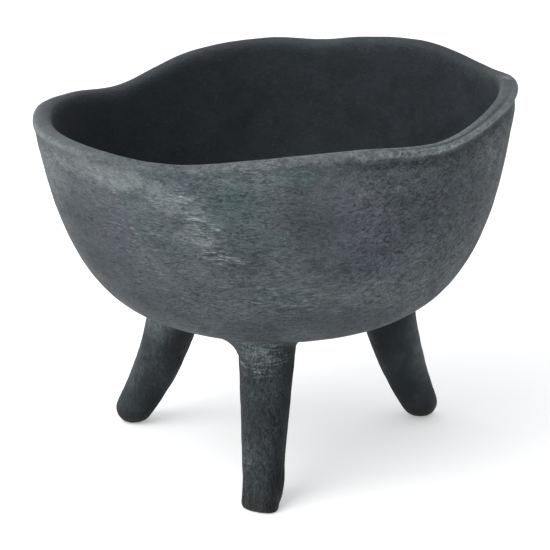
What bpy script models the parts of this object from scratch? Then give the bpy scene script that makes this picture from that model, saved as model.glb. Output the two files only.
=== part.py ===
"""Molcajete: a hand-formed clay bowl with a pinched, wavy lip on three leaning legs.

The bowl is a turned shell whose lip is pulled up and down by hand. Each leg is a rolled,
tapered rod that is pressed to the underside with slip, and a thin coil of the same clay is
worked into the corner round its top. Nothing moves. Metres, +Z up, standing on Z = 0.
"""
import math

import bmesh
import bpy
from mathutils import Vector

# ---- Bowl ----
LIP_RADIUS = 0.0898          # outside of the wall at the nominal lip
LIP_HEIGHT = 0.1373          # nominal lip above the table
UNDERSIDE_HEIGHT = 0.0547    # lowest point of the bowl above the table
WALL = 0.0070                # thickness of the clay
LIP_ROUNDING = 0.0028        # radius of the lip's two rounded edges
LIP_SEGMENTS = 3
FLARE = 0.163                # how much narrower the wall's cone is at the underside
SHOULDER = 3.29              # high: the side goes straight down before it turns under
BASE_FLATNESS = 4.39         # high: a broad, flat underside
BOWL_SIDES = 72
BOWL_RINGS = 18
RING_CROWDING = 1.5          # more than 1 draws the rings closer together under the bowl

# The lip as it was pinched: direction in degrees from +X, how far it is pulled up (+) or pressed
# down (-) from the nominal height, and drawn out (+) or in (-) from the nominal radius.
LIP_PINCHES = (
    (0, 0.0064, -0.0015),
    (22, 0.0032, -0.0010),
    (45, 0.0073, -0.0060),
    (65, 0.0051, -0.0055),
    (77, 0.0025, -0.0045),
    (92, 0.0024, -0.0030),
    (113, -0.0017, -0.0015),
    (135, -0.0107, 0.0000),
    (156, -0.0076, 0.0000),
    (180, -0.0037, 0.0000),
    (195, -0.0048, 0.0014),
    (222, -0.0043, 0.0008),
    (246, -0.0044, 0.0000),
    (270, -0.0001, -0.0010),
    (290, 0.0011, -0.0020),
    (314, -0.0009, -0.0020),
    (338, 0.0052, -0.0010),
)
PINCH_FADE = 2.0             # how fast the pinching dies out below the lip

# ---- Legs ----
# direction is in degrees from +X. A reach is the centre line's distance from the bowl's axis, and
# bow is how far the line's middle is bent in. foot_lift is the height of the centre of the foot's
# rounding, and foot_squareness is 1 for a round end, less for a blunt one. The coil round the
# root is full on one side and thin on the other; coil_full_side is in degrees round the leg from
# its outer side.
LEGS = (
    {
        "name": "front_leg",
        "direction": 265.5,
        "root_reach": 0.0380,
        "foot_reach": 0.0610,
        "bow": 0.0010,
        "root_radius": 0.0107,
        "foot_radius": 0.0072,
        "foot_lift": 0.0044,
        "foot_squareness": 0.6,
        "coil_full": 0.0050,
        "coil_thin": 0.0018,
        "coil_full_side": -60.0,
    },
    {
        "name": "rear_left_leg",
        "direction": 155.0,
        "root_reach": 0.0409,
        "foot_reach": 0.0603,
        "bow": 0.0025,
        "root_radius": 0.0111,
        "foot_radius": 0.0072,
        "foot_lift": 0.0061,
        "foot_squareness": 1.0,
        "coil_full": 0.0034,
        "coil_thin": 0.0006,
        "coil_full_side": 180.0,
    },
    {
        "name": "rear_right_leg",
        "direction": 29.0,
        "root_reach": 0.0480,
        "foot_reach": 0.0645,
        "bow": 0.0026,
        "root_radius": 0.0119,
        "foot_radius": 0.0072,
        "foot_lift": 0.0064,
        "foot_squareness": 1.0,
        "coil_full": 0.0034,
        "coil_thin": 0.0006,
        "coil_full_side": 180.0,
    },
)
LEG_SIDES_RESOLUTION = 8     # 20 sides
LEG_RINGS = 14
FOOT_RINGS = 5
FOOT_SWEEP = 84              # degrees of the foot's rounding, up to its small flat cap
ROOT_SHARE = -0.16           # the rod starts this share of its length inside the bowl

# ---- Joints between the pieces ----
SLIP_GAP = 0.0003            # layer of slip between two pieces
COIL_EDGE = 0.0004           # thickness of the coil's feathered edges
COIL_SIDES = 40
COIL_STEPS = 5
SEARCH_STEPS = 30            # halvings in a search along a surface
PROBE = 0.0001               # step over which a slope is measured
SHARE_STEP = 0.02            # the same along a leg, as a share of its length

CLAY_COLOUR = (0.070, 0.080, 0.085, 1.0)
LEG_COLOUR = (0.050, 0.058, 0.062, 1.0)
COIL_COLOUR = (0.060, 0.069, 0.073, 1.0)
CLAY_ROUGHNESS = 0.9
SHARP_ANGLE = 45             # degrees between faces that count as an edge


def clear_scene():
    for thing in list(bpy.data.objects):
        bpy.data.objects.remove(thing, do_unlink=True)


def new_collection(name):
    collection = bpy.data.collections.new(name)
    bpy.context.scene.collection.children.link(collection)
    return collection


def clay(name, colour):
    material = bpy.data.materials.new(name)
    material.use_nodes = True
    shader = material.node_tree.nodes["Principled BSDF"]
    shader.inputs["Base Color"].default_value = colour
    shader.inputs["Roughness"].default_value = CLAY_ROUGHNESS
    shader.inputs["Metallic"].default_value = 0.0
    return material


def to_mesh_object(source, name, collection):
    """The evaluated shape of a curve or a modified mesh as a plain mesh object."""
    bpy.context.view_layer.update()
    evaluated = source.evaluated_get(bpy.context.evaluated_depsgraph_get())
    mesh = bpy.data.meshes.new_from_object(evaluated)
    mesh.name = name
    work = bmesh.new()
    work.from_mesh(mesh)
    bmesh.ops.remove_doubles(work, verts=work.verts, dist=1e-6)
    bmesh.ops.recalc_face_normals(work, faces=work.faces)
    work.to_mesh(mesh)
    work.free()
    place = source.matrix_world.copy()
    bpy.data.objects.remove(source, do_unlink=True)
    result = bpy.data.objects.new(name, mesh)
    result.matrix_world = place
    collection.objects.link(result)
    return result


def turned(name, profile, sides, collection):
    """An outline of (radius, height) points, spun round the Z axis."""
    mesh = bpy.data.meshes.new(name)
    points = [(radius, 0.0, height) for radius, height in profile]
    mesh.from_pydata(points, [(i, i + 1) for i in range(len(points) - 1)], [])
    spun = bpy.data.objects.new(name, mesh)
    collection.objects.link(spun)
    screw = spun.modifiers.new("turn", "SCREW")
    screw.steps = sides
    screw.render_steps = sides
    screw.use_merge_vertices = True
    screw.merge_threshold = 0.00005
    return to_mesh_object(spun, name, collection)


def smooth(thing):
    thing.data.shade_smooth()
    thing.data.set_sharp_from_angle(angle=math.radians(SHARP_ANGLE))


# ---- The bowl's surface ----
def wall_radius(height):
    """Outside radius of the unpinched wall at a height above the table."""
    level = (height - UNDERSIDE_HEIGHT) / (LIP_HEIGHT - UNDERSIDE_HEIGHT)
    below = min(max(1 - level, 0.0), 1.0)
    turned_under = (1 - below ** SHOULDER) ** (1 / BASE_FLATNESS)
    return LIP_RADIUS * (1 - FLARE * (1 - level)) * turned_under


def lip_at(direction):
    """Rise and reach of the pinched lip, on a smooth closed curve through its points."""
    count = len(LIP_PINCHES)
    turn = 2 * math.pi
    angles = [math.radians(pinch[0]) for pinch in LIP_PINCHES]
    direction %= turn
    here = max(i for i in range(count) if angles[i] <= direction)

    def knot(index):
        laps, place = divmod(index, count)
        return angles[place] + laps * turn, Vector(LIP_PINCHES[place][1:])

    (a0, p0), (a1, p1), (a2, p2), (a3, p3) = (knot(here + step) for step in (-1, 0, 1, 2))
    span = a2 - a1
    slope1 = (p2 - p0) / (a2 - a0) * span
    slope2 = (p3 - p1) / (a3 - a1) * span
    s = (direction - a1) / span
    return (
        p1 * (2 * s ** 3 - 3 * s ** 2 + 1)
        + slope1 * (s ** 3 - 2 * s ** 2 + s)
        + p2 * (-2 * s ** 3 + 3 * s ** 2)
        + slope2 * (s ** 3 - s ** 2)
    )


def bowl_skin(name, collection):
    """The outside of the bowl as an open surface, pinched at the lip."""
    depth = LIP_HEIGHT - UNDERSIDE_HEIGHT
    profile = []
    for ring in range(BOWL_RINGS, 0, -1):
        sweep = (ring / BOWL_RINGS) ** RING_CROWDING * math.pi / 2
        level = 1 - math.cos(sweep) ** (2 / SHOULDER)
        height = UNDERSIDE_HEIGHT + level * depth
        profile.append((wall_radius(height), height))
    profile.append((0.0, UNDERSIDE_HEIGHT))
    skin = turned(name, profile, BOWL_SIDES, collection)
    for vertex in skin.data.vertices:
        x, y, height = vertex.co
        radius = math.hypot(x, y)
        if radius < 1e-6:
            continue
        rise, reach = lip_at(math.atan2(y, x))
        share = ((height - UNDERSIDE_HEIGHT) / depth) ** PINCH_FADE
        height += share * rise
        new_radius = wall_radius(height) + share * reach
        vertex.co = (x * new_radius / radius, y * new_radius / radius, height)
    return skin


def make_bowl(collection):
    bowl = bowl_skin("bowl", collection)
    shell = bowl.modifiers.new("wall", "SOLIDIFY")
    shell.thickness = WALL
    shell.offset = -1.0
    shell.use_even_offset = True
    lip = bowl.modifiers.new("lip_rounding", "BEVEL")
    lip.width = LIP_ROUNDING
    lip.segments = LIP_SEGMENTS
    lip.limit_method = "ANGLE"
    lip.angle_limit = math.radians(SHARP_ANGLE)
    smooth(bowl)
    bowl.data.materials.append(clay("bowl_clay", CLAY_COLOUR))
    return bowl


def make_bowl_cutter(collection):
    """The bowl's outside, closed at the lip and grown by the slip gap."""
    cutter = bowl_skin("bowl_cutter", collection)
    work = bmesh.new()
    work.from_mesh(cutter.data)
    work.normal_update()
    for vertex in work.verts:
        vertex.co += vertex.normal * SLIP_GAP
    rim = [edge for edge in work.edges if edge.is_boundary]
    bmesh.ops.contextual_create(work, geom=rim)
    bmesh.ops.recalc_face_normals(work, faces=work.faces)
    work.to_mesh(cutter.data)
    work.free()
    return as_cutter(cutter)


def as_cutter(thing):
    thing.hide_render = True
    thing.display_type = "WIRE"
    return thing


# ---- The legs ----
def skin_height(reach):
    """Height of the bowl's outside at a distance from its axis."""
    low, high = UNDERSIDE_HEIGHT, LIP_HEIGHT
    for _ in range(SEARCH_STEPS):
        middle = (low + high) / 2
        if wall_radius(middle) < reach:
            low = middle
        else:
            high = middle
    return low


def leg_centre(leg, share):
    """Point on the leg's bowed centre line: share 0 at the root, 1 at the foot's centre."""
    root_height = skin_height(leg["root_reach"])
    reach = leg["root_reach"] + (leg["foot_reach"] - leg["root_reach"]) * share
    reach -= leg["bow"] * 4 * share * (1 - share)
    height = root_height + (leg["foot_lift"] - root_height) * share
    direction = math.radians(leg["direction"])
    return Vector((reach * math.cos(direction), reach * math.sin(direction), height))


def leg_radius(leg, share):
    return leg["root_radius"] + (leg["foot_radius"] - leg["root_radius"]) * share


def leg_rod(leg, collection):
    """The rolled rod with its round foot, as a mesh that still runs on into the bowl."""
    name = leg["name"]
    length = (leg_centre(leg, 1.0) - leg_centre(leg, 0.0)).length
    stations = []
    for ring in range(LEG_RINGS):
        share = ROOT_SHARE + (1 - ROOT_SHARE) * ring / (LEG_RINGS - 1)
        stations.append((leg_centre(leg, share), leg_radius(leg, share)))
    foot = leg["foot_radius"]
    squareness = leg["foot_squareness"]
    for ring in range(1, FOOT_RINGS + 1):
        angle = math.radians(FOOT_SWEEP) * ring / FOOT_RINGS
        share = 1 + foot * math.sin(angle) / length
        stations.append((leg_centre(leg, share), foot * math.cos(angle) ** squareness))
    curve = bpy.data.curves.new(name, "CURVE")
    curve.dimensions = "3D"
    curve.bevel_depth = 1.0
    curve.bevel_resolution = LEG_SIDES_RESOLUTION
    curve.use_fill_caps = True
    spline = curve.splines.new("POLY")
    spline.points.add(len(stations) - 1)
    for point, (place, radius) in zip(spline.points, stations):
        point.co = (*place, 1.0)
        point.radius = radius
    rod = bpy.data.objects.new(name, curve)
    collection.objects.link(rod)
    return to_mesh_object(rod, name, collection)


def cut(thing, cutter):
    difference = thing.modifiers.new("cut_by_" + cutter.name, "BOOLEAN")
    difference.operation = "DIFFERENCE"
    difference.object = cutter


def make_leg(leg, bowl_cutter, table_cutter, collection):
    rod = leg_rod(leg, collection)
    cut(rod, bowl_cutter)
    cut(rod, table_cutter)
    smooth(rod)
    rod.data.materials.append(clay(leg["name"] + "_clay", LEG_COLOUR))
    return rod


def beside_leg(leg, share, turn, distance):
    """Point beside the leg: turn goes round it from its outer side, distance is from its skin."""
    direction = math.radians(leg["direction"])
    sideways = Vector((-math.sin(direction), math.cos(direction), 0.0))
    behind, ahead = leg_centre(leg, share - SHARE_STEP), leg_centre(leg, share + SHARE_STEP)
    along = (ahead - behind).normalized()
    outward = sideways.cross(along)
    radius = leg_radius(leg, share) + distance
    spoke = outward * math.cos(turn) + sideways * math.sin(turn)
    return leg_centre(leg, share) + spoke * radius


def gap_to_bowl(point):
    """Distance from a point under the bowl to its outside."""
    reach = math.hypot(point.x, point.y)
    skin = skin_height(reach)
    slope = (skin_height(reach + PROBE) - skin) / PROBE
    return (skin - point.z) / math.hypot(1.0, slope)


def share_at_bowl(leg, turn, distance):
    """Share of the leg's length at which that place is a slip's gap from the bowl."""
    inside, clear = -1.0, 0.5
    for _ in range(SEARCH_STEPS):
        share = (inside + clear) / 2
        if gap_to_bowl(beside_leg(leg, share, turn, distance)) < SLIP_GAP:
            inside = share
        else:
            clear = share
    return clear


def make_coil(leg, collection):
    """The luting coil: a ring that follows the bowl and the leg, with a hollow outside."""
    length = (leg_centre(leg, 1.0) - leg_centre(leg, 0.0)).length
    full_side = math.radians(leg["coil_full_side"])
    work = bmesh.new()
    rings = []
    for side in range(COIL_SIDES):
        turn = 2 * math.pi * side / COIL_SIDES
        fullness = (1 + math.cos(turn - full_side)) / 2
        size = leg["coil_thin"] + (leg["coil_full"] - leg["coil_thin"]) * fullness
        section = []
        for step in range(COIL_STEPS + 1):
            distance = SLIP_GAP + size * step / COIL_STEPS
            share = share_at_bowl(leg, turn, distance)
            section.append(beside_leg(leg, share, turn, distance))
        corner_share = share_at_bowl(leg, turn, SLIP_GAP)
        edge_share = COIL_EDGE / length
        foot_share = corner_share + size / length
        outer = beside_leg(leg, share + edge_share, turn, distance)
        lower = beside_leg(leg, foot_share, turn, SLIP_GAP + COIL_EDGE)
        corner = beside_leg(leg, corner_share + edge_share, turn, SLIP_GAP + COIL_EDGE)
        for step in range(COIL_STEPS + 1):
            t = step / COIL_STEPS
            section.append(outer * (1 - t) ** 2 + corner * 2 * t * (1 - t) + lower * t ** 2)
        section.append(beside_leg(leg, foot_share, turn, SLIP_GAP))
        section.append(beside_leg(leg, (corner_share + foot_share) / 2, turn, SLIP_GAP))
        rings.append([work.verts.new(point) for point in section])
    for ring, following in zip(rings, rings[1:] + rings[:1]):
        for i in range(len(ring)):
            j = (i + 1) % len(ring)
            work.faces.new((ring[i], ring[j], following[j], following[i]))
    bmesh.ops.recalc_face_normals(work, faces=work.faces)
    name = leg["name"] + "_coil"
    mesh = bpy.data.meshes.new(name)
    work.to_mesh(mesh)
    work.free()
    coil = bpy.data.objects.new(name, mesh)
    collection.objects.link(coil)
    smooth(coil)
    coil.data.materials.append(clay(name + "_clay", COIL_COLOUR))
    return coil


def make_table_cutter(collection):
    """A block under the table's surface: it wears each foot to a small flat."""
    half = 2 * LIP_RADIUS
    work = bmesh.new()
    bmesh.ops.create_cube(work, size=2 * half)
    bmesh.ops.translate(work, verts=work.verts, vec=(0.0, 0.0, -half))
    mesh = bpy.data.meshes.new("table_cutter")
    work.to_mesh(mesh)
    work.free()
    block = bpy.data.objects.new("table_cutter", mesh)
    collection.objects.link(block)
    return as_cutter(block)


def centre_on_origin(bowl, pieces):
    """Everything hangs on one empty, moved so that the bowl's box is centred on Z."""
    bpy.context.view_layer.update()
    evaluated = bowl.evaluated_get(bpy.context.evaluated_depsgraph_get())
    corners = [Vector(corner) for corner in evaluated.bound_box]
    middle_x = (min(c.x for c in corners) + max(c.x for c in corners)) / 2
    middle_y = (min(c.y for c in corners) + max(c.y for c in corners)) / 2
    centre = bpy.data.objects.new("molcajete_centre", None)
    bpy.context.scene.collection.objects.link(centre)
    for piece in pieces:
        piece.parent = centre
    centre.location = (-middle_x, -middle_y, 0.0)


def main():
    clear_scene()
    parts = new_collection("molcajete")
    cutters = new_collection("cutters")
    bowl = make_bowl(parts)
    bowl_cutter = make_bowl_cutter(cutters)
    table_cutter = make_table_cutter(cutters)
    for leg in LEGS:
        make_leg(leg, bowl_cutter, table_cutter, parts)
        make_coil(leg, parts)
    centre_on_origin(bowl, list(parts.objects) + list(cutters.objects))


main()
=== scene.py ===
import math

import bmesh
import bpy
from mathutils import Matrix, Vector


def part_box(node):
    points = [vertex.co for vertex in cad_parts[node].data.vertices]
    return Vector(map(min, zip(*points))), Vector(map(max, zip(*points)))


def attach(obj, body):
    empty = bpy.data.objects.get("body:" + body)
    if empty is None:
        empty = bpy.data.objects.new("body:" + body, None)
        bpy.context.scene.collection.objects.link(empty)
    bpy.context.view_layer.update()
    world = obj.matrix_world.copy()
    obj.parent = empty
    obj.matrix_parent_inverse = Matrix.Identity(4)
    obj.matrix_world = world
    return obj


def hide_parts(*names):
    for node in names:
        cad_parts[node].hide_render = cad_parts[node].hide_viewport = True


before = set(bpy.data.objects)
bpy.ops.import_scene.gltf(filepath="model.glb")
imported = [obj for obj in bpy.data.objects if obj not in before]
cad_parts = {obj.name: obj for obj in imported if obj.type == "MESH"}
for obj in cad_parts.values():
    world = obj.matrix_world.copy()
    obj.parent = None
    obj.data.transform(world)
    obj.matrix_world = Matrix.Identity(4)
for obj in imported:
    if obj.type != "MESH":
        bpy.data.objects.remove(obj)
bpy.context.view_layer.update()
bpy.ops.object.select_all(action="DESELECT")


# ---- The bowl ----
# One wall of dark grey clay, 7 mm thick, built up by hand over a broad, flat underside. The lip
# was pinched up and down with the fingers, so it wanders. The outside was wiped round with a wet
# rag and a thin chalky slip, and the inside was rubbed smooth and came out of the fire nearly black.
LIP_RADIUS = 0.0898          # outside of the wall at the nominal lip
LIP_HEIGHT = 0.1373          # nominal lip above the table
WALL = 0.0070
LIP_ROUNDING = 0.0030        # where the lip is at its roundest
FLARE = 0.163                # how much narrower the wall's cone is at the underside
SHOULDER = 3.29              # high: the side goes straight down before it turns under
BASE_FLATNESS = 4.39         # high: a broad, flat underside
BOWL_SIDES = 96
BOWL_RINGS = 24
FIRST_RING = 2               # the rings inside this one are a grid across the flat underside
RING_CROWDING = 1.5          # more than 1 draws the rings closer together under the bowl

# The lip as it was pinched: direction in degrees from +X, how far it is pulled up (+) or pressed
# down (-) from the nominal height, and drawn out (+) or in (-) from the nominal radius.
LIP_PINCHES = (
    (0, 0.0064, -0.0015),
    (22, 0.0032, -0.0010),
    (45, 0.0073, -0.0060),
    (65, 0.0051, -0.0055),
    (77, 0.0025, -0.0045),
    (92, 0.0024, -0.0030),
    (113, -0.0017, -0.0015),
    (135, -0.0107, 0.0000),
    (156, -0.0076, 0.0000),
    (180, -0.0037, 0.0000),
    (195, -0.0048, 0.0014),
    (222, -0.0043, 0.0008),
    (246, -0.0044, 0.0000),
    (270, -0.0001, -0.0010),
    (290, 0.0011, -0.0020),
    (314, -0.0009, -0.0020),
    (338, 0.0052, -0.0010),
)
PINCH_FADE = 2.0             # how fast the pinching dies out below the lip
FLAT_TOPPED = (322, 52)      # where the lip is flatter on top: middle direction and spread, in degrees
FLATTENED = 0.55             # how much of its rounding it loses there
LIP_BAND = 0.020             # the lip's top lies less than this below the nominal lip

underside = min((corner.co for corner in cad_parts["bowl"].data.vertices), key=lambda co: co.z)
AXIS = Vector((underside.x, underside.y, 0.0))
UNDERSIDE_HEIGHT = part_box("bowl")[0].z
DEPTH = LIP_HEIGHT - UNDERSIDE_HEIGHT


def wall_radius(height):
    """Outside radius of the unpinched wall at a height above the table."""
    level = (height - UNDERSIDE_HEIGHT) / DEPTH
    below = min(max(1 - level, 0.0), 1.0)
    turned_under = (1 - below ** SHOULDER) ** (1 / BASE_FLATNESS)
    return LIP_RADIUS * (1 - FLARE * (1 - level)) * turned_under


def ring_height(ring):
    sweep = (ring / BOWL_RINGS) ** RING_CROWDING * math.pi / 2
    return UNDERSIDE_HEIGHT + (1 - math.cos(sweep) ** (2 / SHOULDER)) * DEPTH


def lip_at(direction):
    """Rise and reach of the pinched lip, on a smooth closed curve through its points."""
    count = len(LIP_PINCHES)
    turn = 2 * math.pi
    angles = [math.radians(pinch[0]) for pinch in LIP_PINCHES]
    direction %= turn
    here = max(i for i in range(count) if angles[i] <= direction)

    def knot(index):
        laps, place = divmod(index, count)
        return angles[place] + laps * turn, Vector(LIP_PINCHES[place][1:])

    (a0, p0), (a1, p1), (a2, p2), (a3, p3) = (knot(here + step) for step in (-1, 0, 1, 2))
    span = a2 - a1
    slope1 = (p2 - p0) / (a2 - a0) * span
    slope2 = (p3 - p1) / (a3 - a1) * span
    s = (direction - a1) / span
    return (
        p1 * (2 * s ** 3 - 3 * s ** 2 + 1)
        + slope1 * (s ** 3 - 2 * s ** 2 + s)
        + p2 * (-2 * s ** 3 + 3 * s ** 2)
        + slope2 * (s ** 3 - s ** 2)
    )


def choose_edges(piece, wanted):
    """In edit mode, selects just the edges that the test picks out."""
    bpy.ops.mesh.select_mode(type="EDGE")
    bpy.ops.mesh.select_all(action="DESELECT")
    work = bmesh.from_edit_mesh(piece.data)
    for edge in work.edges:
        if wanted(edge):
            edge.select_set(True)
    bmesh.update_edit_mesh(piece.data)


def finish_modifier(piece, modifier):
    bpy.context.view_layer.objects.active = piece
    bpy.ops.object.modifier_apply(modifier=modifier.name)


def press_unevenly(piece, depth, size, squash):
    """The unevenness that hands leave: soft dents of one size, longer the way that squash is 1."""
    dents = bpy.data.textures.new("dents", type="CLOUDS")
    dents.noise_scale = size
    dents.noise_depth = 2
    guide = bpy.data.objects.new("dent_guide", None)
    guide.scale = squash
    bpy.context.scene.collection.objects.link(guide)
    bpy.context.view_layer.update()
    pressing = piece.modifiers.new("pressing", "DISPLACE")
    pressing.texture = dents
    pressing.texture_coords = "OBJECT"
    pressing.texture_coords_object = guide
    pressing.mid_level = 0.5
    pressing.strength = depth
    finish_modifier(piece, pressing)
    bpy.data.objects.remove(guide)


def round_off(piece, levels):
    rounding = piece.modifiers.new("rounding", "SUBSURF")
    rounding.levels = levels
    rounding.render_levels = levels
    finish_modifier(piece, rounding)


def put_in_place(piece):
    """The object goes to the origin, unturned and unscaled, and its place goes into its mesh."""
    bpy.ops.object.select_all(action="DESELECT")
    piece.select_set(True)
    bpy.context.view_layer.objects.active = piece
    bpy.ops.object.transform_apply(location=True, rotation=True, scale=True)
    bpy.ops.object.shade_smooth()


def raise_wall():
    """The outside of the bowl, ring on ring from the underside, then pinched at the lip."""
    height = ring_height(FIRST_RING)
    bpy.ops.mesh.primitive_circle_add(
        vertices=BOWL_SIDES,
        radius=wall_radius(height),
        fill_type="NOTHING",
        location=(AXIS.x, AXIS.y, height),
    )
    wall = bpy.context.object
    wall.name = "bowl_wall"
    bpy.ops.object.mode_set(mode="EDIT")
    for ring in range(FIRST_RING + 1, BOWL_RINGS + 1):
        above = ring_height(ring)
        grow = wall_radius(above) / wall_radius(height)
        bpy.ops.mesh.extrude_edges_move(TRANSFORM_OT_translate={"value": (0, 0, above - height)})
        bpy.ops.transform.resize(value=(grow, grow, 1), center_override=(AXIS.x, AXIS.y, above))
        height = above
    lowest = ring_height(FIRST_RING) - wall.location.z
    choose_edges(wall, lambda edge: all(abs(end.co.z - lowest) < 1e-5 for end in edge.verts))
    bpy.ops.mesh.fill_grid(span=BOWL_SIDES // 4)
    bpy.ops.mesh.select_all(action="SELECT")
    bpy.ops.mesh.normals_make_consistent(inside=False)
    bpy.ops.object.mode_set(mode="OBJECT")
    put_in_place(wall)
    for vertex in wall.data.vertices:
        spoke = vertex.co - AXIS
        height = spoke.z
        spoke.z = 0
        rise, reach = lip_at(math.atan2(spoke.y, spoke.x))
        share = ((height - UNDERSIDE_HEIGHT) / DEPTH) ** PINCH_FADE
        pinched = height + share * rise
        stretch = (wall_radius(pinched) + share * reach) / wall_radius(height)
        if share < 1e-6:
            stretch = 1
        vertex.co = AXIS + spoke * stretch + Vector((0, 0, pinched))
    return wall


def near_direction(direction, middle, spread):
    """1 at the middle direction and 0 well beyond the spread to either side, all in degrees."""
    away = (math.degrees(direction) - middle + 180) % 360 - 180
    return math.exp(-((away / spread) ** 4))


def give_thickness(wall):
    """The wall gets its 7 mm inwards. The lip is round, but flatter on top at the front right."""
    thickness = wall.modifiers.new("thickness", "SOLIDIFY")
    thickness.thickness = WALL
    thickness.offset = -1
    thickness.use_even_offset = True
    finish_modifier(wall, thickness)
    mesh = wall.data
    weights = mesh.attributes.new("bevel_weight_edge", "FLOAT", "EDGE")
    level_faces = [face for face in mesh.polygons if face.normal.z > 0.7]
    lip_faces = [face for face in level_faces if face.center.z > LIP_HEIGHT - LIP_BAND]
    round_the_lip = {key for face in lip_faces for key in face.edge_keys}
    for edge in mesh.edges:
        first, second = (mesh.vertices[corner].co - AXIS for corner in edge.vertices)
        if edge.key in round_the_lip and abs(first.xy.length - second.xy.length) < WALL / 2:
            flat = near_direction(math.atan2(first.y, first.x), *FLAT_TOPPED)
            weights.data[edge.index].value = 1.0 - FLATTENED * flat
    lip_edges = wall.modifiers.new("lip_edges", "BEVEL")
    lip_edges.width = LIP_ROUNDING
    lip_edges.segments = 3
    lip_edges.limit_method = "WEIGHT"
    finish_modifier(wall, lip_edges)
    round_off(wall, 2)


# The rolled edge: the lip's outer edge was pressed over into a thin bead with a shallow hollow
# under it. It is plain at the front right, where a crease on top shows where the folded clay meets
# the lip, and faint at the left end. Painted shade darkens the hollow and the crease.
ROLLED_PLAINLY = (326, 35)   # middle direction and spread, in degrees, here and below
ROLLED_FAINTLY = (197, 24)
BEAD_PROUD = 0.0008
BEAD_BELOW_LIP = 0.0010
BEAD_SIZE = 0.0010
FAINT_BEAD = 0.8             # the faint bead's share of the plain one
HOLLOW_DEEP = 0.0012
HOLLOW_BELOW_LIP = 0.0046
HOLLOW_SIZE = 0.0021
FAINT_HOLLOW = 0.15
THINNED_ALONG = (275, 62)    # where the fingers thinned the lip, on its inner side
LIP_THINNED = 0.0015         # how much they thinned it
THINNED_MORE = 0.7           # and this share more where the bead is plain
LIP_TAPER = 0.0080           # the depth below the lip over which the wall comes back to its thickness
LIP_DRAWN_IN = 0.0009        # how far the lip's outer edge is drawn in where the bead is plain
DRAWN_IN_BELOW = 0.0035
CREASED_ALONG = (320, 26)
CREASE_DEEP = 0.0007
CREASE_AT = 0.30             # its place through the wall, 0 outside and 1 inside, at its middle
CREASE_RUNS_OUT = 0.006      # how much further out it lies for each degree to the right
CREASE_SIZE = 0.08           # as a share of the wall's thickness
CREASE_DEPTH_BELOW = 0.0022  # it is only on top of the lip, above this depth
MOUTH_MIDDLE = AXIS + Vector((0, 0, LIP_HEIGHT - 0.018))
INSIDE_EDGE = 1.4            # how quickly a surface counts as facing in, as it turns to the middle
OUTSIDE_EDGE = 2.5           # and as facing out


def clamped(value):
    return min(max(value, 0.0), 1.0)


def hump(value, middle, size):
    """1 at the middle, falling away smoothly to either side."""
    return math.exp(-(((value - middle) / size) ** 2))


def roll_lip(wall):
    """Presses the bead and its hollow, and notes for the finish where each point lies on the lip."""
    mesh = wall.data
    notes = {"facing_in": [], "below_lip": [], "bead": [], "hollow": [], "crease": []}
    normals = [corner.vector.copy() for corner in mesh.vertex_normals]
    for vertex, normal in zip(mesh.vertices, normals):
        spoke = vertex.co - AXIS
        direction = math.atan2(spoke.y, spoke.x)
        rise, reach = lip_at(direction)
        depth = LIP_HEIGHT + rise - vertex.co.z
        level = max(depth, 0.0)
        facing = normal.dot((vertex.co - MOUTH_MIDDLE).normalized())
        outside = clamped(facing * OUTSIDE_EDGE)
        share = clamped((vertex.co.z - UNDERSIDE_HEIGHT) / DEPTH) ** PINCH_FADE
        outer = wall_radius(vertex.co.z - share * rise) + share * reach
        through_wall = clamped((outer - spoke.xy.length) / WALL)
        plain = near_direction(direction, *ROLLED_PLAINLY)
        faint = near_direction(direction, *ROLLED_FAINTLY)

        thinned = LIP_THINNED * (1 + THINNED_MORE * plain) * near_direction(direction, *THINNED_ALONG)
        thinned *= hump(level, 0.0, LIP_TAPER) * through_wall
        drawn_in = LIP_DRAWN_IN * plain * hump(level, 0.0, DRAWN_IN_BELOW) * (1 - through_wall)
        outward = Vector((math.cos(direction), math.sin(direction), 0.0))
        vertex.co += outward * (thinned - drawn_in)

        bead = hump(depth, BEAD_BELOW_LIP, BEAD_SIZE) * outside * max(plain, FAINT_BEAD * faint)
        hollow = hump(depth, HOLLOW_BELOW_LIP, HOLLOW_SIZE) * outside * max(plain, FAINT_HOLLOW * faint)
        to_the_right = (math.degrees(direction) - CREASED_ALONG[0] + 180) % 360 - 180
        crease_at = CREASE_AT - CREASE_RUNS_OUT * to_the_right
        crease = hump(through_wall, crease_at, CREASE_SIZE) * near_direction(direction, *CREASED_ALONG)
        crease *= math.exp(-((level / CREASE_DEPTH_BELOW) ** 4)) * clamped(normal.z)
        vertex.co += normal * (BEAD_PROUD * bead - HOLLOW_DEEP * hollow - CREASE_DEEP * crease)

        notes["facing_in"].append(clamped(0.5 - INSIDE_EDGE * facing))
        notes["below_lip"].append(depth)
        notes["bead"].append(bead)
        notes["hollow"].append(hollow)
        notes["crease"].append(crease)
    for name, values in notes.items():
        mesh.attributes.new(name, "FLOAT", "POINT").data.foreach_set("value", values)


# Every finish is made of the same few effects, each with its own strength.
def put(tree, kind, sockets=(), **settings):
    """Adds a node. Each of sockets is an input's name or number and its value or its link."""
    made = tree.nodes.new(kind)
    for name, value in settings.items():
        setattr(made, name, value)
    for name, value in dict(sockets).items():
        if isinstance(value, bpy.types.NodeSocket):
            tree.links.new(value, made.inputs[name])
        else:
            made.inputs[name].default_value = value
    return made


def maths(tree, operation, first, second=0.0, clamp=False):
    made = put(tree, "ShaderNodeMath", {0: first, 1: second}, operation=operation, use_clamp=clamp)
    return made.outputs[0]


def times(tree, first, second, clamp=False):
    return maths(tree, "MULTIPLY", first, second, clamp)


def plus(tree, first, second, clamp=False):
    return maths(tree, "ADD", first, second, clamp)


def minus(tree, first, second):
    return maths(tree, "SUBTRACT", first, second)


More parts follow.
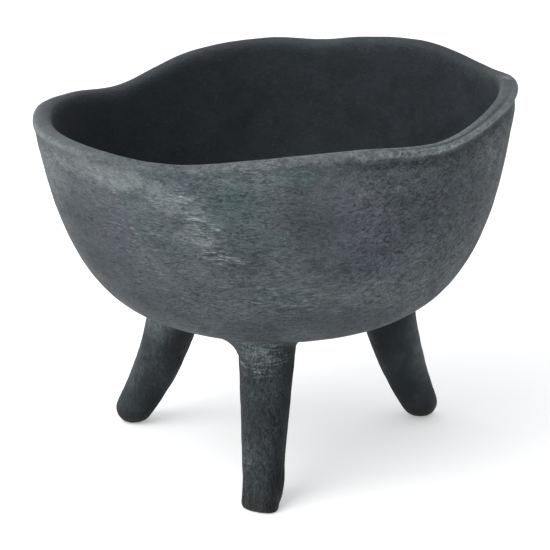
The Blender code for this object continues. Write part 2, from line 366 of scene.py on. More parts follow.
def between(tree, value, low, high, at_low=0.0, at_high=1.0):
    """Eased from at_low to at_high as the value goes from low to high."""
    sockets = {"Value": value, "From Min": low, "From Max": high, "To Min": at_low, "To Max": at_high}
    made = put(tree, "ShaderNodeMapRange", sockets, interpolation_type="SMOOTHSTEP")
    return made.outputs["Result"]


def tint(tree, share, under, over):
    """The colour under it shows through less as the share of the colour over it grows."""
    return put(tree, "ShaderNodeMix", {0: share, 6: under, 7: over}, data_type="RGBA").outputs[2]


def blend(tree, share, first, second):
    """The first value, going over to the second as the share grows."""
    return put(tree, "ShaderNodeMix", {0: share, 2: first, 3: second}).outputs[0]


def place_maths(tree, operation, first, second):
    """The same sums on places, X, Y and Z each by itself."""
    return put(tree, "ShaderNodeVectorMath", {0: first, 1: second}, operation=operation).outputs[0]


def stretched(tree, place, along):
    return place_maths(tree, "MULTIPLY", place, along)


def scaled(tree, place, factor):
    made = put(tree, "ShaderNodeVectorMath", {0: place, "Scale": factor}, operation="SCALE")
    return made.outputs[0]


def axis_value(tree, place, axis):
    return put(tree, "ShaderNodeSeparateXYZ", {0: place}).outputs[axis]


def noted(tree, name):
    """A value that was noted on the mesh, point by point."""
    return put(tree, "ShaderNodeAttribute", attribute_name=name).outputs["Fac"]


def cloud(tree, place, scale, detail, roughness, warp=0.0):
    """Soft random light and dark: more detail adds finer clouds, and warp curls them."""
    sockets = {"Vector": place, "Scale": scale, "Detail": detail}
    sockets.update({"Roughness": roughness, "Distortion": warp})
    return put(tree, "ShaderNodeTexNoise", sockets).outputs["Fac"]


def effect(name, takes, gives):
    """An empty node group with its named inputs and outputs."""
    group = bpy.data.node_groups.new(name, "ShaderNodeTree")
    for socket, kind in takes.items():
        group.interface.new_socket(socket, in_out="INPUT", socket_type=kind)
    for socket in gives:
        group.interface.new_socket(socket, in_out="OUTPUT", socket_type="NodeSocketFloat")
    start = group.nodes.new("NodeGroupInput")
    end = group.nodes.new("NodeGroupOutput")
    return group, start.outputs, end.inputs


def use(tree, group, sockets):
    return put(tree, "ShaderNodeGroup", sockets, node_tree=group).outputs


def make_wipes():
    """Marks of a rag or a wet finger: light and dark strokes and the shallow relief they leave."""
    group, takes, gives = effect(
        "wipes", {"Place": "NodeSocketVector", "Scale": "NodeSocketFloat"}, ("Light", "Dark", "Height")
    )
    broad = cloud(group, takes["Place"], takes["Scale"], 3.0, 0.6, 1.6)
    fine = cloud(group, takes["Place"], times(group, takes["Scale"], 2.7), 2.0, 0.5, 1.4)
    both = plus(group, times(group, broad, 0.5), times(group, fine, 0.5))
    light_line = maths(group, "ABSOLUTE", minus(group, broad, 0.54))
    light_curl = between(group, light_line, 0.030, 0.004)
    dark_line = maths(group, "ABSOLUTE", minus(group, fine, 0.45))
    dark_curl = between(group, dark_line, 0.030, 0.004)
    light = maths(group, "MAXIMUM", between(group, both, 0.50, 0.64), times(group, light_curl, 0.6))
    dark = maths(group, "MAXIMUM", between(group, both, 0.50, 0.36), times(group, dark_curl, 0.5))
    group.links.new(light, gives["Light"])
    group.links.new(dark, gives["Dark"])
    group.links.new(both, gives["Height"])
    return group


def make_mottle():
    """Uneven body colour, from the clay and the fire: a tone and two drifting tints."""
    group, takes, gives = effect(
        "mottle", {"Place": "NodeSocketVector", "Scale": "NodeSocketFloat"}, ("Tone", "Green", "Violet")
    )
    elsewhere = place_maths(group, "ADD", takes["Place"], (3.1, 1.7, 5.3))
    further = place_maths(group, "ADD", takes["Place"], (7.7, 4.9, 2.3))
    tone = cloud(group, takes["Place"], takes["Scale"], 5.0, 0.6, 0.5)
    green = cloud(group, elsewhere, takes["Scale"], 3.0, 0.55, 0.4)
    violet = cloud(group, further, takes["Scale"], 3.0, 0.55, 0.4)
    group.links.new(between(group, tone, 0.36, 0.64), gives["Tone"])
    group.links.new(between(group, green, 0.50, 0.66), gives["Green"])
    group.links.new(between(group, violet, 0.50, 0.66), gives["Violet"])
    return group


def make_grit():
    """The clay's own grit: pale specks that stand proud and small dark pits."""
    group, takes, gives = effect(
        "grit", {"Place": "NodeSocketVector", "Scale": "NodeSocketFloat"}, ("Speck", "Pit", "Height")
    )
    grain = cloud(group, takes["Place"], takes["Scale"], 2.0, 0.6, 0.0)
    holes = cloud(group, takes["Place"], times(group, takes["Scale"], 0.45), 1.0, 0.5, 0.0)
    speck = between(group, grain, 0.60, 0.74)
    pit = between(group, holes, 0.33, 0.25)
    group.links.new(speck, gives["Speck"])
    group.links.new(pit, gives["Pit"])
    group.links.new(minus(group, grain, pit), gives["Height"])
    return group


def make_chalk():
    """Chalky slip rubbed on thin: a film where the rag pressed, and long streaks where it dragged."""
    takes = {"Place": "NodeSocketVector", "Film": "NodeSocketFloat", "Streaks": "NodeSocketFloat"}
    group, takes, gives = effect("chalk", takes, ("Mask",))
    rubbed = cloud(group, stretched(group, takes["Place"], (1.0, 1.0, 1.8)), 130.0, 5.0, 0.62, 0.8)
    film = times(group, takes["Film"], between(group, rubbed, 0.34, 0.66, 0.55, 1.25), True)
    drawn = cloud(group, stretched(group, takes["Place"], (1.0, 1.0, 6.0)), 160.0, 5.0, 0.62, 0.9)
    wanted = plus(group, drawn, times(group, takes["Streaks"], 0.16))
    where = between(group, takes["Streaks"], 0.0, 0.4)
    streaks = times(group, between(group, wanted, 0.50, 0.76), where)
    group.links.new(maths(group, "MAXIMUM", film, streaks), gives["Mask"])
    return group


def patches(tree, place, spots):
    """Soft patches: each spot is its centre, its half sizes along X, Y and Z, and its strength."""
    total = None
    for centre, sizes, strength in spots:
        shares = place_maths(tree, "DIVIDE", place_maths(tree, "SUBTRACT", place, centre), sizes)
        distance = put(tree, "ShaderNodeVectorMath", {0: shares}, operation="LENGTH").outputs["Value"]
        spot = between(tree, distance, 1.0, 0.15, 0.0, strength)
        total = spot if total is None else maths(tree, "MAXIMUM", total, spot)
    return total


def on_wall(direction, height):
    """Point on the bowl's outside, in degrees from +X and metres above the table."""
    turn = math.radians(direction)
    radius = wall_radius(height)
    return AXIS + Vector((radius * math.cos(turn), radius * math.sin(turn), height))


WIPES = make_wipes()
MOTTLE = make_mottle()
GRIT = make_grit()
CHALK = make_chalk()

# The clay's own greys and tints, the slip over them, the painted highlights and painted shade on
# the lip, smoke that is partly painted shade, and the soot inside.
CHARCOAL = (0.040, 0.047, 0.052, 1)
ASH = (0.066, 0.075, 0.081, 1)
GREENISH = (0.042, 0.070, 0.071, 1)
VIOLET = (0.066, 0.067, 0.084, 1)
CHALK_AND_HIGHLIGHT = (0.190, 0.212, 0.213, 1)
LIP_GREY = (0.108, 0.120, 0.124, 1)
CREVICE_PAINTED_SHADE = (0.022, 0.026, 0.028, 1)
SOOT = (0.0148, 0.0180, 0.0215, 1)
SOOT_GREY = (0.0248, 0.0290, 0.0340, 1)
SMOKE_AND_SHADE = (0.030, 0.036, 0.041, 1)

# Where the chalk was rubbed on: direction, height, half length, half height, strength.
FILM_RUBS = (
    (199, 0.120, 0.030, 0.018, 0.50),
    (212, 0.1300, 0.030, 0.010, 0.66),
    (222, 0.1300, 0.022, 0.0090, 0.80),
    (232, 0.1280, 0.022, 0.0090, 0.80),
    (241, 0.1240, 0.016, 0.007, 0.56),
    (248, 0.1190, 0.016, 0.007, 0.36),
    (252, 0.1090, 0.015, 0.012, 0.32),
    (262, 0.1320, 0.030, 0.008, 0.22),
    (222, 0.118, 0.034, 0.020, 0.14),
    (238, 0.1150, 0.014, 0.008, 0.20),
    (252, 0.0920, 0.020, 0.010, 0.15),
    (259, 0.0780, 0.022, 0.009, 0.16),
    (256, 0.1310, 0.013, 0.006, 0.06),
    (222, 0.1360, 0.020, 0.005, 0.60),
)
STREAK_RUBS = (
    (226, 0.128, 0.034, 0.010, 0.50),
    (247, 0.1210, 0.015, 0.008, 0.70),
    (251, 0.1160, 0.011, 0.005, 0.70),
    (252, 0.1090, 0.012, 0.009, 0.62),
    (257, 0.1000, 0.014, 0.006, 0.55),
    (262, 0.136, 0.030, 0.006, 0.55),
    (234, 0.104, 0.034, 0.016, 0.20),
    (268, 0.084, 0.060, 0.016, 0.22),
)
# Where the clay is tinted or the fire smoked it, told the same way. The smoke patches are partly
# painted shade, darkening the wall on the right and low down.
GREEN_RUBS = (
    (241, 0.130, 0.022, 0.014, 0.9),
    (257, 0.122, 0.026, 0.020, 1.0),
    (266, 0.108, 0.018, 0.012, 0.6),
    (244, 0.104, 0.016, 0.010, 0.6),
    (238, 0.115, 0.014, 0.016, 0.7),
    (277, 0.1300, 0.010, 0.008, 0.8),
    (271, 0.0860, 0.012, 0.008, 0.7),
    (228, 0.0960, 0.012, 0.010, 0.6),
)
VIOLET_RUBS = (
    (226, 0.108, 0.018, 0.018, 1.0),
    (290, 0.112, 0.020, 0.020, 0.6),
    (296, 0.099, 0.022, 0.012, 0.8),
)
SMOKE_AND_SHADED = (
    (308, 0.117, 0.030, 0.024, 0.80),
    (300, 0.100, 0.022, 0.010, 0.3),
    (276, 0.118, 0.014, 0.014, 0.5),
    (324, 0.108, 0.030, 0.026, 0.80),
    (217, 0.110, 0.026, 0.022, 0.85),
    (280, 0.113, 0.016, 0.013, 0.85),
    (237, 0.078, 0.026, 0.013, 0.75),
    (286, 0.076, 0.026, 0.010, 0.6),
    (214, 0.088, 0.032, 0.018, 0.7),
    (224, 0.074, 0.040, 0.014, 0.9),
    (296, 0.070, 0.036, 0.014, 0.8),
)

# A painted highlight on the lip's right corner, a small pale spot: its centre, half sizes and strength.
PAINTED_HIGHLIGHT_SPOT = ((Vector((0.0853, 0.0025, 0.1430)), (0.0030, 0.0050, 0.0050), 0.9),)


def rubs(tree, place, marks):
    """Soft patches on the bowl's outside, told by direction and height."""
    spots = []
    for direction, height, half_length, half_height, strength in marks:
        spots.append((on_wall(direction, height), (half_length, half_length, half_height), strength))
    return patches(tree, place, spots)


def bowl_finish():
    material = bpy.data.materials.new("bowl_clay")
    material.use_nodes = True
    tree = material.node_tree
    shader = tree.nodes["Principled BSDF"]
    place = put(tree, "ShaderNodeTexCoord").outputs["Object"]
    sideways = axis_value(tree, place, "X")
    depth_back = axis_value(tree, place, "Y")
    facing_in = noted(tree, "facing_in")
    below_lip = noted(tree, "below_lip")

    # Rag strokes run along the wall on the left, and finger curls cover it on the right.
    streaky = use(tree, WIPES, {"Place": stretched(tree, place, (1.0, 1.0, 3.2)), "Scale": 260.0})
    curly = use(tree, WIPES, {"Place": stretched(tree, place, (1.0, 1.0, 1.6)), "Scale": 250.0})
    to_the_right = between(tree, sideways, 0.0, 0.04)
    mottle = use(tree, MOTTLE, {"Place": place, "Scale": 32.0})
    grit = use(tree, GRIT, {"Place": place, "Scale": 1100.0})

    # The patches' edges wander, because the rag and the smoke did.
    wander = put(tree, "ShaderNodeTexNoise", {"Vector": place, "Scale": 90.0, "Detail": 3.0})
    shift = place_maths(tree, "SUBTRACT", wander.outputs["Color"], (0.5, 0.5, 0.5))
    shift = scaled(tree, shift, 0.012)
    warped = place_maths(tree, "ADD", place, shift)
    swept = place_maths(tree, "ADD", place, scaled(tree, shift, 0.22))

    # The body colour: two greys, green and violet tints, smoke that is partly painted shade, and chalk
    # over them.
    colour = tint(tree, mottle["Tone"], CHARCOAL, ASH)
    green = plus(tree, rubs(tree, warped, GREEN_RUBS), times(tree, mottle["Green"], 0.35), True)
    violet = plus(tree, rubs(tree, warped, VIOLET_RUBS), times(tree, mottle["Violet"], 0.35), True)
    colour = tint(tree, times(tree, green, 0.7), colour, GREENISH)
    colour = tint(tree, times(tree, violet, 0.6), colour, VIOLET)
    colour = tint(tree, times(tree, rubs(tree, warped, SMOKE_AND_SHADED), 0.75), colour, SMOKE_AND_SHADE)
    film = times(tree, rubs(tree, warped, FILM_RUBS), between(tree, below_lip, 0.001, 0.004, 0.60, 1.0))
    streaks = rubs(tree, warped, STREAK_RUBS)
    chalk = use(tree, CHALK, {"Place": swept, "Film": film, "Streaks": streaks})["Mask"]
    colour = tint(tree, times(tree, chalk, 0.85), colour, CHALK_AND_HIGHLIGHT)

    # The lip: darker along its band, sooty behind, and a painted highlight along its top in front. Its
    # band ends raggedly.
    ragged = minus(tree, cloud(tree, place, 330.0, 3.0, 0.6, 0.8), 0.5)
    edge = plus(tree, below_lip, times(tree, ragged, 0.007))
    on_lip = between(tree, edge, 0.0058, 0.0016)
    colour = tint(tree, times(tree, on_lip, 0.45), colour, CHARCOAL)
    behind = times(tree, between(tree, depth_back, 0.01, 0.05), between(tree, sideways, 0.01, 0.05))
    colour = tint(tree, times(tree, on_lip, times(tree, behind, 0.40)), colour, SOOT_GREY)
    # A painted highlight along the top of the lip, strongest in front and faint at the back.
    lip_highlight = between(tree, edge, 0.0030, 0.0003)
    lip_highlight = times(tree, lip_highlight, between(tree, depth_back, 0.03, -0.05, 0.0, 0.95))
    lip_highlight = times(tree, lip_highlight, between(tree, sideways, 0.060, 0.088, 1.0, 0.75))
    lip_highlight = times(tree, lip_highlight, between(tree, sideways, -0.05, 0.01, 0.60, 1.0))
    colour = tint(tree, lip_highlight, colour, LIP_GREY)

    # The rolled edge: chalk and a painted highlight on the chipped bead, painted shade in the hollow
    # and in the crease, and a painted highlight on the lip's right corner.
    chipped = between(tree, cloud(tree, place, 420.0, 3.0, 0.6, 0.5), 0.40, 0.60, 0.45, 1.0)
    colour = tint(tree, times(tree, noted(tree, "bead"), chipped), colour, CHALK_AND_HIGHLIGHT)
    colour = tint(tree, times(tree, noted(tree, "hollow"), 0.85), colour, CREVICE_PAINTED_SHADE)
    colour = tint(tree, times(tree, noted(tree, "crease"), chipped, True), colour, CREVICE_PAINTED_SHADE)
    colour = tint(tree, patches(tree, place, PAINTED_HIGHLIGHT_SPOT), colour, CHALK_AND_HIGHLIGHT)

    # The strokes, curls and grit lighten and darken it all, least where it is rubbed smooth.
    long_marks = minus(tree, streaky["Light"], times(tree, streaky["Dark"], 0.8))
    curls = minus(tree, curly["Light"], times(tree, curly["Dark"], 0.7))
    strokes = blend(tree, to_the_right, long_marks, times(tree, curls, 1.2))
    strokes = times(tree, strokes, between(tree, sideways, -0.06, -0.02, 0.75, 1.0))
    grain = minus(tree, grit["Speck"], grit["Pit"])
    marks = plus(tree, times(tree, strokes, 0.80), times(tree, grain, 0.26))
    smooth_lip = times(tree, on_lip, between(tree, depth_back, -0.075, -0.03, 0.35, 1.0))
    rubbed_smooth = maths(tree, "MAXIMUM", smooth_lip, between(tree, film, 0.3, 0.8, 0.0, 0.6))
    marks = times(tree, marks, between(tree, rubbed_smooth, 0.0, 1.0, 1.0, 0.25))
    shaded = {"Color": colour, "Value": plus(tree, marks, 1.0)}
    outside = put(tree, "ShaderNodeHueSaturation", shaded).outputs["Color"]

    # The inside: soot, thinner near the lip and on the left, with faint specks and curls.
    rubbed = cloud(tree, place, 60.0, 5.0, 0.6, 0.4)
    less_smoked = between(tree, sideways, -0.01, -0.075, 0.0, 0.85)
    less_smoked = plus(tree, less_smoked, between(tree, below_lip, 0.030, 0.006, 0.0, 0.35))
    soot = plus(tree, between(tree, rubbed, 0.35, 0.68), less_smoked, True)
    inside = tint(tree, soot, SOOT, SOOT_GREY)
    inside = tint(tree, times(tree, grit["Speck"], 0.16), inside, LIP_GREY)
    shaded = {"Color": inside, "Value": plus(tree, times(tree, curls, 0.20), 1.0)}
    inside = put(tree, "ShaderNodeHueSaturation", shaded).outputs["Color"]
    under_lip = between(tree, below_lip, 0.0005, 0.006)
    inside_share = times(tree, between(tree, facing_in, 0.35, 0.85), under_lip)
    colour = tint(tree, inside_share, outside, inside)

    # Its feel: matt, a little rougher with chalk, and much smoother inside than out.
    roughness = plus(tree, between(tree, rubbed, 0.3, 0.7, 0.62, 0.78), times(tree, chalk, 0.12))
    relief = blend(tree, to_the_right, streaky["Height"], curly["Height"])
    relief = plus(tree, relief, times(tree, grit["Height"], 0.25))
    relief = plus(tree, relief, times(tree, chalk, 0.15))
    relief = times(tree, relief, between(tree, inside_share, 0.0, 1.0, 1.0, 0.15))
    bump = put(tree, "ShaderNodeBump", {"Height": relief, "Distance": 0.0006, "Strength": 0.7})
    tree.links.new(colour, shader.inputs["Base Color"])
    tree.links.new(roughness, shader.inputs["Roughness"])
    tree.links.new(bump.outputs["Normal"], shader.inputs["Normal"])
    shader.inputs["Specular IOR Level"].default_value = 0.2
    return material


bowl_wall = raise_wall()
give_thickness(bowl_wall)
roll_lip(bowl_wall)
press_unevenly(bowl_wall, 0.0004, 0.045, (1.0, 1.0, 0.8))
press_unevenly(bowl_wall, 0.00025, 0.010, (1.0, 1.0, 0.4))
bowl_wall.data.materials.append(bowl_finish())
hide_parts("bowl")
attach(bowl_wall, "root")


# ---- The legs ----
# Three rods of the same clay, rolled and tapered by hand, pushed up against the underside with
# slip while soft and left leaning outwards. They stand on blunt, slightly flattened ends.
LEGS = (
    {
        "name": "front_leg",
        "direction": 265.5,
        "root_reach": 0.0380,
        "foot_reach": 0.0610,
        "bow": 0.0010,
        "root_radius": 0.0107,
        "foot_radius": 0.0072,
        "foot_lift": 0.0044,
        "foot_squareness": 0.4,
        "foot_squared": 0.55,
        "foot_turned": -25.0,
        "coil_full": 0.0052,
        "coil_thin": 0.0018,
        "coil_full_side": -75.0,
        "coil_spread": 0.2,
        "coil_fill": 0.28,
    },
    {
        "name": "rear_left_leg",
        "direction": 155.0,
        "root_reach": 0.0409,
        "foot_reach": 0.0603,
        "bow": 0.0025,
        "root_radius": 0.0111,
        "foot_radius": 0.0072,
        "foot_lift": 0.0061,
        "foot_squareness": 1.0,
        "foot_squared": 0.2,
        "foot_turned": 0.0,
        "coil_full": 0.0034,
        "coil_thin": 0.0006,
        "coil_full_side": 180.0,
        "coil_spread": 0.0,
        "coil_fill": 0.1,
    },
    {
        "name": "rear_right_leg",
        "direction": 29.0,
        "root_reach": 0.0480,
        "foot_reach": 0.0645,
        "bow": 0.0026,
        "root_radius": 0.0119,
        "foot_radius": 0.0072,
        "foot_lift": 0.0064,
        "foot_squareness": 1.0,
        "foot_squared": 0.2,
        "foot_turned": 0.0,
        "coil_full": 0.0034,
        "coil_thin": 0.0006,
        "coil_full_side": 180.0,
        "coil_spread": 0.0,
        "coil_fill": 0.1,
    },
)
LEG_SIDES = 32
LEG_RINGS = 16
FOOT_RINGS = 5
FOOT_SWEEP = 84              # degrees of the foot's rounding, up to its small flat cap
ROOT_SHARE = -0.12           # the rod is modelled from this share of its length above the underside
LEG_SINK = 0.0030            # how deep the leg's top is hidden in the bowl's wall
FOOT_WEAR = 0.0006           # softness of the edge round a foot's flat
FOOT_SQUARED_TO = 0.0160     # height up to which a foot's sides are squared
SQUARING = 3                 # a round has the power 2, and this is added for a full square
CORNERS_IN = 0.12            # a squared foot is this much narrower, so that its corners stay in
SHARE_STEP = 0.02            # step along a leg over which its direction is measured
SEARCH_STEPS = 30            # halvings in a search along a surface


def skin_height(reach):
    """Height of the bowl's outside at a distance from its axis."""
    low, high = UNDERSIDE_HEIGHT, LIP_HEIGHT
    for _ in range(SEARCH_STEPS):
        middle = (low + high) / 2
        if wall_radius(middle) < reach:
            low = middle
        else:
            high = middle
    return low


def leg_centre(leg, share):
    """Point on the leg's bowed centre line: share 0 at the root, 1 at the foot's centre."""
    root_height = skin_height(leg["root_reach"])
    reach = leg["root_reach"] + (leg["foot_reach"] - leg["root_reach"]) * share
    reach -= leg["bow"] * 4 * share * (1 - share)
    height = root_height + (leg["foot_lift"] - root_height) * share
    direction = math.radians(leg["direction"])
    return AXIS + Vector((reach * math.cos(direction), reach * math.sin(direction), height))


def leg_radius(leg, share):
    return leg["root_radius"] + (leg["foot_radius"] - leg["root_radius"]) * share


def leg_stations(leg):
    """Centre and radius of each ring, from inside the bowl to the blunt end of the foot."""
    length = (leg_centre(leg, 1.0) - leg_centre(leg, 0.0)).length
    stations = []
    for ring in range(LEG_RINGS):
        share = ROOT_SHARE + (1 - ROOT_SHARE) * ring / (LEG_RINGS - 1)
        stations.append((leg_centre(leg, share), leg_radius(leg, share)))
    foot = leg["foot_radius"]
    for ring in range(1, FOOT_RINGS + 1):
        angle = math.radians(FOOT_SWEEP) * ring / FOOT_RINGS
        share = 1 + foot * math.sin(angle) / length
        stations.append((leg_centre(leg, share), foot * math.cos(angle) ** leg["foot_squareness"]))
    return stations


def roll_leg(leg):
    """A rod drawn out ring by ring down its bowed line, with both ends closed."""
    stations = leg_stations(leg)
    centre, radius = stations[0]
    lean = (stations[-1][0] - centre).to_track_quat("Z", "Y").to_euler()
    bpy.ops.object.select_all(action="DESELECT")
    bpy.ops.mesh.primitive_circle_add(
        vertices=LEG_SIDES, radius=radius, fill_type="NOTHING", location=centre, rotation=lean
    )
    rod = bpy.context.object
    rod.name = leg["name"] + "_rod"
    bpy.ops.object.mode_set(mode="EDIT")
    bpy.ops.mesh.select_all(action="SELECT")
    bpy.ops.mesh.fill_grid(span=LEG_SIDES // 4)
    choose_edges(rod, lambda edge: len(edge.link_faces) == 1)
    for following, following_radius in stations[1:]:
        step = following - centre
        grow = following_radius / radius
        bpy.ops.mesh.extrude_edges_move(TRANSFORM_OT_translate={"value": step})
        bpy.ops.transform.resize(value=(grow, grow, grow), center_override=following)
        centre, radius = following, following_radius
    bpy.ops.mesh.fill_grid(span=LEG_SIDES // 4)
    bpy.ops.mesh.select_all(action="SELECT")
    bpy.ops.mesh.normals_make_consistent(inside=False)
    bpy.ops.object.mode_set(mode="OBJECT")
    put_in_place(rod)
    round_off(rod, 1)
    return rod


def square_foot(rod, leg):
    """The foot was tapped on the bench while soft, which squared its sides a little."""
    centre = leg_centre(leg, 1.0)
    turned = math.radians(leg["foot_turned"])
    for vertex in rod.data.vertices:
        squared = clamped(1 - vertex.co.z / FOOT_SQUARED_TO) * leg["foot_squared"]
        share = 1 + (leg["foot_lift"] - vertex.co.z) / (centre.z - leg_centre(leg, 0.0).z)
        middle = leg_centre(leg, min(share, 1.0))
        across = vertex.co - Vector((middle.x, middle.y, vertex.co.z))
        angle = math.atan2(across.y, across.x) - turned
        power = 2 + squared * SQUARING
        rounder = (abs(math.cos(angle)) ** power + abs(math.sin(angle)) ** power) ** (-1 / power)
        vertex.co += across * (rounder * (1 - CORNERS_IN * squared) - 1)


def set_leg(rod):
    """The top is hidden in the bowl's wall, and the foot wears to a soft-edged flat."""
    for vertex in rod.data.vertices:
        spoke = vertex.co - AXIS
        highest = skin_height(math.hypot(spoke.x, spoke.y)) + LEG_SINK
        height = min(vertex.co.z, highest)
        vertex.co.z = (height + math.hypot(height, FOOT_WEAR)) / 2


LEG_DARK = (0.017, 0.020, 0.023, 1)
LEG_GREY = (0.034, 0.039, 0.043, 1)
# The darkest of these is painted shade for the legs' shaded sides.
LEG_PAINTED_SHADE = (0.009, 0.011, 0.013, 1)
LEG_GREEN = (0.024, 0.040, 0.040, 1)
LEG_CHALK = (0.120, 0.145, 0.145, 1)
FOOT_BROWN = (0.018, 0.018, 0.0175, 1)

# Chalk on the legs' outer sides, and painted shade on the sides that the light reaches least. Each
# rub is its centre, its half sizes along X, Y and Z, and its strength.
LEG_FILM_RUBS = (
    ((-0.010, -0.056, 0.055), (0.014, 0.020, 0.009), 0.55),
    ((-0.050, 0.006, 0.053), (0.018, 0.020, 0.022), 1.00),
    ((-0.061, 0.014, 0.031), (0.013, 0.020, 0.024), 0.66),
    ((0.060, 0.018, 0.036), (0.012, 0.030, 0.026), 0.55),
)
LEG_STREAK_RUBS = (
    ((-0.008, -0.052, 0.054), (0.018, 0.024, 0.011), 0.75),
    ((-0.014, -0.066, 0.022), (0.009, 0.020, 0.024), 0.40),
)
LEG_PAINTED_SHADE_RUBS = (
    ((0.0085, -0.056, 0.046), (0.009, 0.090, 0.030), 1.00),
    ((0.0050, -0.060, 0.026), (0.008, 0.090, 0.030), 1.00),
    ((0.0020, -0.066, 0.006), (0.008, 0.090, 0.024), 1.00),
    ((-0.024, 0.010, 0.054), (0.014, 0.090, 0.026), 1.00),
    ((-0.035, 0.015, 0.030), (0.013, 0.090, 0.032), 1.00),
    ((-0.046, 0.018, 0.006), (0.012, 0.090, 0.024), 1.00),
    ((0.034, 0.014, 0.050), (0.030, 0.090, 0.034), 1.00),
    ((0.038, 0.020, 0.034), (0.013, 0.090, 0.022), 0.90),
    ((0.046, 0.022, 0.012), (0.012, 0.090, 0.020), 0.80),
)


def leg_finish(name):
    material = bpy.data.materials.new(name)
    material.use_nodes = True
    tree = material.node_tree
    shader = tree.nodes["Principled BSDF"]
    place = put(tree, "ShaderNodeTexCoord").outputs["Object"]
    sideways = axis_value(tree, place, "X")
    depth_back = axis_value(tree, place, "Y")
    height = axis_value(tree, place, "Z")
    wipes = use(tree, WIPES, {"Place": stretched(tree, place, (3.2, 3.2, 1.0)), "Scale": 220.0})
    mottle = use(tree, MOTTLE, {"Place": place, "Scale": 75.0})
    grit = use(tree, GRIT, {"Place": place, "Scale": 1100.0})

    # The body colour, which a coil shares with the bowl at its outer edge, darker and browner towards
    # the feet.
    colour = tint(tree, mottle["Tone"], LEG_DARK, LEG_GREY)
    colour = tint(tree, times(tree, mottle["Green"], 0.3), colour, LEG_GREEN)
    rubbed_in = times(tree, between(tree, noted(tree, "onto_bowl"), 0.45, 1.0), 0.85)
    colour = tint(tree, rubbed_in, colour, CHARCOAL)
    colour = tint(tree, between(tree, height, 0.008, 0.004, 0.0, 0.8), colour, FOOT_BROWN)

    # Painted shade, then chalk over it.
    colour = tint(tree, patches(tree, place, LEG_PAINTED_SHADE_RUBS), colour, LEG_PAINTED_SHADE)
    film = patches(tree, place, LEG_FILM_RUBS)
    streaks = patches(tree, place, LEG_STREAK_RUBS)
    chalk = use(tree, CHALK, {"Place": place, "Film": film, "Streaks": streaks})["Mask"]
    colour = tint(tree, times(tree, chalk, 0.88), colour, LEG_CHALK)

    # Finger strokes down the leg, strongest on the front one.
    strokes = minus(tree, wipes["Light"], times(tree, wipes["Dark"], 0.7))
    grain = minus(tree, grit["Speck"], grit["Pit"])
    marks = plus(tree, strokes, times(tree, grain, 0.10))
    marks = times(tree, marks, between(tree, depth_back, -0.03, 0.0, 1.0, 0.6))
    marks = times(tree, marks, between(tree, sideways, 0.02, 0.04, 1.0, 0.45))
    shaded = {"Color": colour, "Value": plus(tree, marks, 1.0)}
    colour = put(tree, "ShaderNodeHueSaturation", shaded).outputs["Color"]

    relief = plus(tree, wipes["Height"], times(tree, grit["Height"], 0.2))
    bump = put(tree, "ShaderNodeBump", {"Height": relief, "Distance": 0.0005, "Strength": 0.6})
    tree.links.new(colour, shader.inputs["Base Color"])
    tree.links.new(between(tree, mottle["Tone"], 0.0, 1.0, 0.6, 0.78), shader.inputs["Roughness"])
    tree.links.new(bump.outputs["Normal"], shader.inputs["Normal"])
    shader.inputs["Specular IOR Level"].default_value = 0.15
    return material


leg_clay = leg_finish("leg_clay")
for leg in LEGS:
    rod = roll_leg(leg)
    square_foot(rod, leg)
    set_leg(rod)
    press_unevenly(rod, 0.0007, 0.020, (0.7, 0.7, 1.0))
    press_unevenly(rod, 0.0003, 0.006, (0.4, 0.4, 1.0))
    rod.data.materials.append(leg_clay)
    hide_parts(leg["name"])
    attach(rod, "root")


# ---- The luting coils ----
# A thin roll of soft clay laid round the top of each leg and rubbed into the corner with a finger,
# so that leg and bowl run into each other, in colour too. The front one is full on its left side.
COIL_SIDES = 64
COIL_STEPS = 8
COIL_TUCK = 0.00025          # how far the coil's thin edges lie under the clay they are rubbed into
PROBE = 0.0001               # step over which a slope is measured
COIL_BLEND = 0.0030          # the depth below the bowl over which the coil takes the leg's colour
COIL_LEAST = 0.0026          # what even the thinnest side has, to reach over the slip's gap
COIL_ROOT = 0.0018           # how deep the coil's hidden back reaches into the corner


def beside_leg(leg, share, turn, distance):
    """Point beside the leg: turn goes round it from its outer side, distance is from its skin."""
    direction = math.radians(leg["direction"])
    sideways = Vector((-math.sin(direction), math.cos(direction), 0.0))
    behind, ahead = leg_centre(leg, share - SHARE_STEP), leg_centre(leg, share + SHARE_STEP)
    along = (ahead - behind).normalized()
    outward = sideways.cross(along)
    radius = leg_radius(leg, share) + distance
    spoke = outward * math.cos(turn) + sideways * math.sin(turn)
    return leg_centre(leg, share) + spoke * radius


def gap_to_bowl(point):
    """Distance from a point under the bowl to its outside."""
    spoke = point - AXIS
    reach = math.hypot(spoke.x, spoke.y)
    skin = skin_height(reach)
    slope = (skin_height(reach + PROBE) - skin) / PROBE
    return (skin - point.z) / math.hypot(1.0, slope)


def share_at_bowl(leg, turn, distance, tuck):
    """Share of the leg's length at which that place meets the bowl, or lies tucked in its clay."""
    inside, clear = -1.0, 0.5
    for _ in range(SEARCH_STEPS):
        share = (inside + clear) / 2
        if gap_to_bowl(beside_leg(leg, share, turn, distance)) < -tuck:
            inside = share
        else:
            clear = share
    return clear


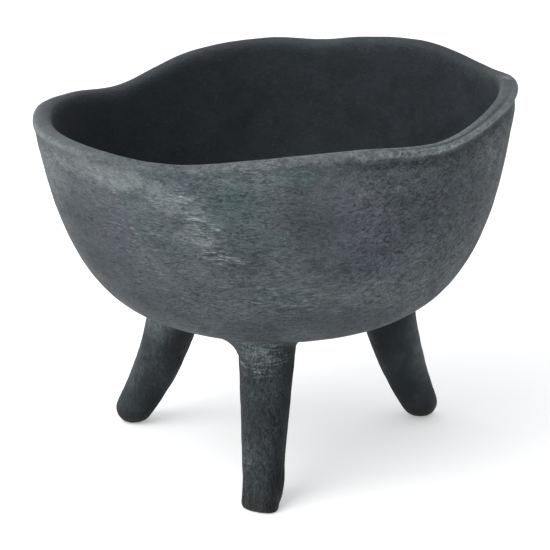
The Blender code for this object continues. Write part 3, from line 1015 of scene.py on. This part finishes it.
def coil_section(leg, turn):
    """The coil's outline at one side: a hollow from the bowl to the leg, closed inside the clay."""
    length = (leg_centre(leg, 1.0) - leg_centre(leg, 0.0)).length
    fullness = (1 + math.cos(turn - math.radians(leg["coil_full_side"]))) / 2
    size = leg["coil_thin"] + (leg["coil_full"] - leg["coil_thin"]) * fullness + COIL_LEAST
    spread = size * (1 + leg["coil_spread"] * fullness)
    corner_share = share_at_bowl(leg, turn, 0.0, COIL_TUCK)
    outer = beside_leg(leg, share_at_bowl(leg, turn, spread, COIL_TUCK), turn, spread)
    lower = beside_leg(leg, corner_share + size / length, turn, -COIL_TUCK)
    corner = beside_leg(leg, corner_share, turn, -COIL_TUCK)
    deep = beside_leg(leg, corner_share - COIL_ROOT / length, turn, -COIL_ROOT)
    pulled = corner.lerp((outer + lower) / 2, leg["coil_fill"] * fullness)
    points = []
    for step in range(COIL_STEPS + 1):
        t = step / COIL_STEPS
        points.append(outer * (1 - t) ** 2 + pulled * 2 * t * (1 - t) + lower * t ** 2)
    return points + [(lower + deep) / 2, deep, (outer + deep) / 2]


def lay_coil(leg):
    """A ring drawn out section by section round the leg and closed on itself."""
    work = bmesh.new()
    rings = []
    for side in range(COIL_SIDES):
        turn = 2 * math.pi * side / COIL_SIDES
        rings.append([work.verts.new(point) for point in coil_section(leg, turn)])
    for ring, following in zip(rings, rings[1:] + rings[:1]):
        for i in range(len(ring)):
            j = (i + 1) % len(ring)
            work.faces.new((ring[i], ring[j], following[j], following[i]))
    bmesh.ops.recalc_face_normals(work, faces=work.faces)
    name = leg["name"] + "_luting"
    mesh = bpy.data.meshes.new(name)
    work.to_mesh(mesh)
    work.free()
    coil = bpy.data.objects.new(name, mesh)
    bpy.context.scene.collection.objects.link(coil)
    put_in_place(coil)
    round_off(coil, 1)
    onto_bowl = [clamped(1 - gap_to_bowl(vertex.co) / COIL_BLEND) for vertex in coil.data.vertices]
    coil.data.attributes.new("onto_bowl", "FLOAT", "POINT").data.foreach_set("value", onto_bowl)
    return coil


coil_clay = leg_finish("coil_clay")
for leg in LEGS:
    coil = lay_coil(leg)
    press_unevenly(coil, 0.0003, 0.010, (1.0, 1.0, 0.4))
    coil.data.materials.append(coil_clay)
    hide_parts(leg["name"] + "_coil")
    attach(coil, "root")


# ---- The studio ----
# A white floor that runs out of sight, soft light from all round, and one large lamp high on the
# left in front. The camera stands a metre away and looks down on the bowl.
bpy.ops.object.select_all(action="DESELECT")
bpy.ops.mesh.primitive_plane_add(size=12.0, location=(0, 0, 0))
floor = bpy.context.object
floor.name = "studio_floor"
white = bpy.data.materials.new("studio_white")
white.use_nodes = True
paint = white.node_tree.nodes["Principled BSDF"].inputs
paint["Base Color"].default_value = (0.93, 0.93, 0.93, 1)
paint["Roughness"].default_value = 0.9
paint["Specular IOR Level"].default_value = 0.0
paint["Emission Color"].default_value = (1, 1, 1, 1)
paint["Emission Strength"].default_value = 0.30
floor.data.materials.append(white)

world = bpy.data.worlds.new("studio_air")
world.use_nodes = True
air = world.node_tree
toward = put(air, "ShaderNodeTexCoord").outputs["Generated"]
BRIGHTER_TOWARD = (-0.27, 0.20, 0.12)
leaning = put(air, "ShaderNodeVectorMath", {0: toward, 1: BRIGHTER_TOWARD}, operation="DOT_PRODUCT")
air.nodes["Background"].inputs["Color"].default_value = (0.97, 0.99, 1.0, 1)
light = plus(air, leaning.outputs["Value"], 0.78)
air.links.new(light, air.nodes["Background"].inputs["Strength"])
bpy.context.scene.world = world

bpy.ops.object.light_add(type="AREA", location=(-1.0, -0.75, 1.15))
lamp = bpy.context.object
lamp.name = "soft_lamp"
lamp.data.shape = "DISK"
lamp.data.size = 1.5
lamp.data.energy = 17.5
lamp.rotation_euler = (Vector((0, 0, 0.08)) - lamp.location).to_track_quat("-Z", "Y").to_euler()

bpy.ops.object.camera_add(location=(-0.0003, -0.9992, 0.3963), rotation=(math.radians(71.84), 0, 0))
camera = bpy.context.object
camera.name = "camera"
camera.data.sensor_width = 36
camera.data.lens = 183.07
bpy.context.scene.camera = camera
bpy.context.scene.view_settings.view_transform = "Standard"
